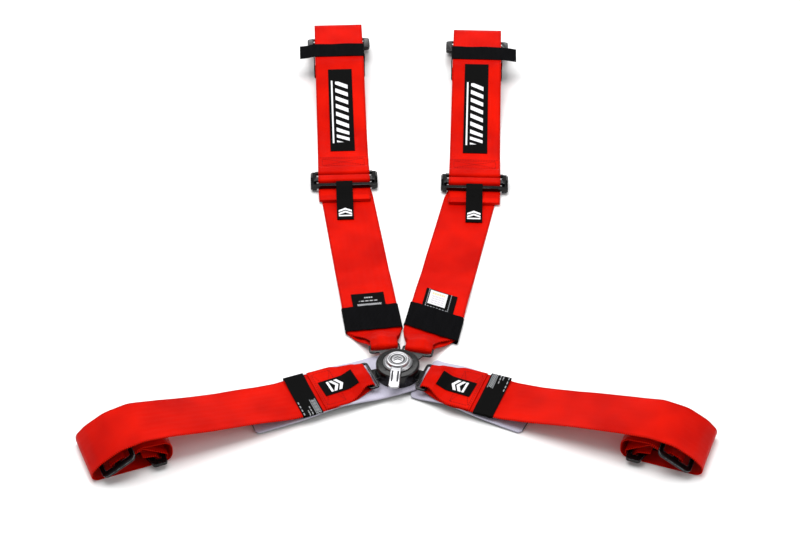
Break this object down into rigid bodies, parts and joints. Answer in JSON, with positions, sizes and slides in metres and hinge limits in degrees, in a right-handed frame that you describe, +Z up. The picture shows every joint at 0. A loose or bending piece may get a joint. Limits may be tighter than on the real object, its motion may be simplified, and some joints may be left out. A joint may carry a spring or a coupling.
{
  "type": "racing harness",
  "caption": "Point-mounted racing harness laid flat: wide red webbing belts meeting in a rotary cam-lock buckle, with sliding-bar adjusters, lap pads and rolled ends with snap hooks.",
  "frame": {"origin": "centre of the floor area that the laid-out harness covers, on the floor", "axes": "+X to the side of the right-hand lap belt, +Y towards the shoulder belts' anchor ends, +Z up from the floor"},
  "size_m": [0.8108, 1.0064, 0.043],
  "materials": {
    "red_webbing": "woven",
    "pad_fabric": "knitted",
    "black_elastic": "ribbed",
    "white_label": "satin",
    "black_label": "satin",
    "silver_lever": "satin",
    "black_housing": "gloss",
    "bright_steel": "zinc plated",
    "black_steel": "gloss black"
  },
  "bodies": {
    "buckle": {"buckle_back_plate": "black_housing", "buckle_housing": "black_housing", "housing_screws": "bright_steel", "spindle": "bright_steel", "latch_spring_spider": "bright_steel", "lever_return_spring": "bright_steel", "left_lap_tongue": "black_steel", "left_lap_webbing": "red_webbing", "left_lap_tag": "black_label", "left_lap_label_band": "black_label", "left_lap_pad": "pad_fabric", "left_lap_slide": "black_steel", "left_lap_hook": "black_steel", "left_lap_gate_pin": "bright_steel"},
    "lever": {"release_lever": "silver_lever", "lever_badge": "silver_lever", "release_cam": "bright_steel"},
    "left_lap_gate": {"left_lap_hook_gate": "black_steel"},
    "right_lap_belt": {"right_lap_tongue": "black_steel", "right_lap_webbing": "red_webbing", "right_lap_tag": "black_label", "right_lap_label_band": "black_label", "right_lap_pad": "pad_fabric", "right_lap_slide": "black_steel", "right_lap_hook": "black_steel", "right_lap_gate_pin": "bright_steel"},
    "right_lap_gate": {"right_lap_hook_gate": "black_steel"},
    "left_shoulder_belt": {"left_shoulder_tongue": "black_steel", "left_shoulder_lower_webbing": "red_webbing", "left_shoulder_keeper": "black_elastic", "left_shoulder_label": "black_label", "left_shoulder_upper_webbing": "red_webbing", "left_shoulder_slide": "black_steel", "left_shoulder_hook": "black_steel", "left_shoulder_gate_pin": "bright_steel", "left_shoulder_patch": "black_label", "left_shoulder_top_strap": "black_elastic"},
    "left_adjuster": {"left_shoulder_adjuster_frame": "black_steel", "left_shoulder_release_tab": "black_elastic"},
    "left_lock_bar": {"left_shoulder_lock_bar": "black_steel"},
    "left_shoulder_gate": {"left_shoulder_hook_gate": "black_steel"},
    "right_shoulder_belt": {"right_shoulder_tongue": "black_steel", "right_shoulder_lower_webbing": "red_webbing", "right_shoulder_keeper": "black_elastic", "right_shoulder_label": "black_label", "right_shoulder_label_patch": "white_label", "right_shoulder_upper_webbing": "red_webbing", "right_shoulder_slide": "black_steel", "right_shoulder_hook": "black_steel", "right_shoulder_gate_pin": "bright_steel", "right_shoulder_patch": "black_label", "right_shoulder_top_strap": "black_elastic"},
    "right_adjuster": {"right_shoulder_adjuster_frame": "black_steel", "right_shoulder_release_tab": "black_elastic"},
    "right_lock_bar": {"right_shoulder_lock_bar": "black_steel"},
    "right_shoulder_gate": {"right_shoulder_hook_gate": "black_steel"}
  },
  "joints": [
    {"name": "lever_turn", "type": "hinge", "parent": "buckle", "child": "lever", "pos_m": [0.00157, -0.30736, 0.028], "axis": [0, 0, 1], "range_deg": [-40, 40], "stiffness_Nm_per_rad": 0.02, "deforming": ["latch_spring_spider", "lever_return_spring"]},
    {"name": "left_lap_gate_open", "type": "hinge", "parent": "buckle", "child": "left_lap_gate", "pos_m": [-0.32833, -0.45287, 0.0085], "axis": [0, 0, -1], "range_deg": [0, 24], "stiffness_Nm_per_rad": 0.02, "springref_deg": -17.19},
    {"name": "right_lap_tongue_pull", "type": "slide", "parent": "buckle", "child": "right_lap_belt", "axis": [0.9272, -0.3746, 0], "range_m": [0, 0.03], "deforming": ["latch_spring_spider"]},
    {"name": "right_lap_gate_open", "type": "hinge", "parent": "right_lap_belt", "child": "right_lap_gate", "pos_m": [0.33784, -0.42157, 0.0085], "axis": [0, 0, -1], "range_deg": [0, 24], "stiffness_Nm_per_rad": 0.02, "springref_deg": -17.19},
    {"name": "left_shoulder_tongue_pull", "type": "slide", "parent": "buckle", "child": "left_shoulder_belt", "axis": [-0.3907, 0.9205, 0], "range_m": [0, 0.03], "deforming": ["latch_spring_spider"]},
    {"name": "left_shoulder_adjuster_tilt", "type": "hinge", "parent": "left_shoulder_belt", "child": "left_adjuster", "pos_m": [-0.07812, 0.13562, 0.006], "axis": [-0.999, -0.0454, 0], "range_deg": [0, 35], "deforming": ["left_shoulder_lower_webbing"]},
    {"name": "left_shoulder_lock_bar_slide", "type": "slide", "parent": "left_adjuster", "child": "left_lock_bar", "axis": [0.0454, -0.999, 0], "range_m": [0, 0.0024], "deforming": ["left_shoulder_lower_webbing"]},
    {"name": "left_shoulder_gate_open", "type": "hinge", "parent": "left_shoulder_belt", "child": "left_shoulder_gate", "pos_m": [-0.07983, 0.44887, 0.0085], "axis": [0, 0, -1], "range_deg": [0, 24], "stiffness_Nm_per_rad": 0.02, "springref_deg": -17.19},
    {"name": "right_shoulder_tongue_pull", "type": "slide", "parent": "buckle", "child": "right_shoulder_belt", "axis": [0.6225, 0.7826, 0], "range_m": [0, 0.03], "deforming": ["latch_spring_spider"]},
    {"name": "right_shoulder_adjuster_tilt", "type": "hinge", "parent": "right_shoulder_belt", "child": "right_adjuster", "pos_m": [0.11407, 0.12863, 0.006], "axis": [-0.9993, 0.0384, 0], "range_deg": [0, 35], "deforming": ["right_shoulder_lower_webbing"]},
    {"name": "right_shoulder_lock_bar_slide", "type": "slide", "parent": "right_adjuster", "child": "right_lock_bar", "axis": [-0.0384, -0.9993, 0], "range_m": [0, 0.0024], "deforming": ["right_shoulder_lower_webbing"]},
    {"name": "right_shoulder_gate_open", "type": "hinge", "parent": "right_shoulder_belt", "child": "right_shoulder_gate", "pos_m": [0.1385, 0.43892, 0.0085], "axis": [0, 0, -1], "range_deg": [0, 24], "stiffness_Nm_per_rad": 0.02, "springref_deg": -17.19}
  ]
}
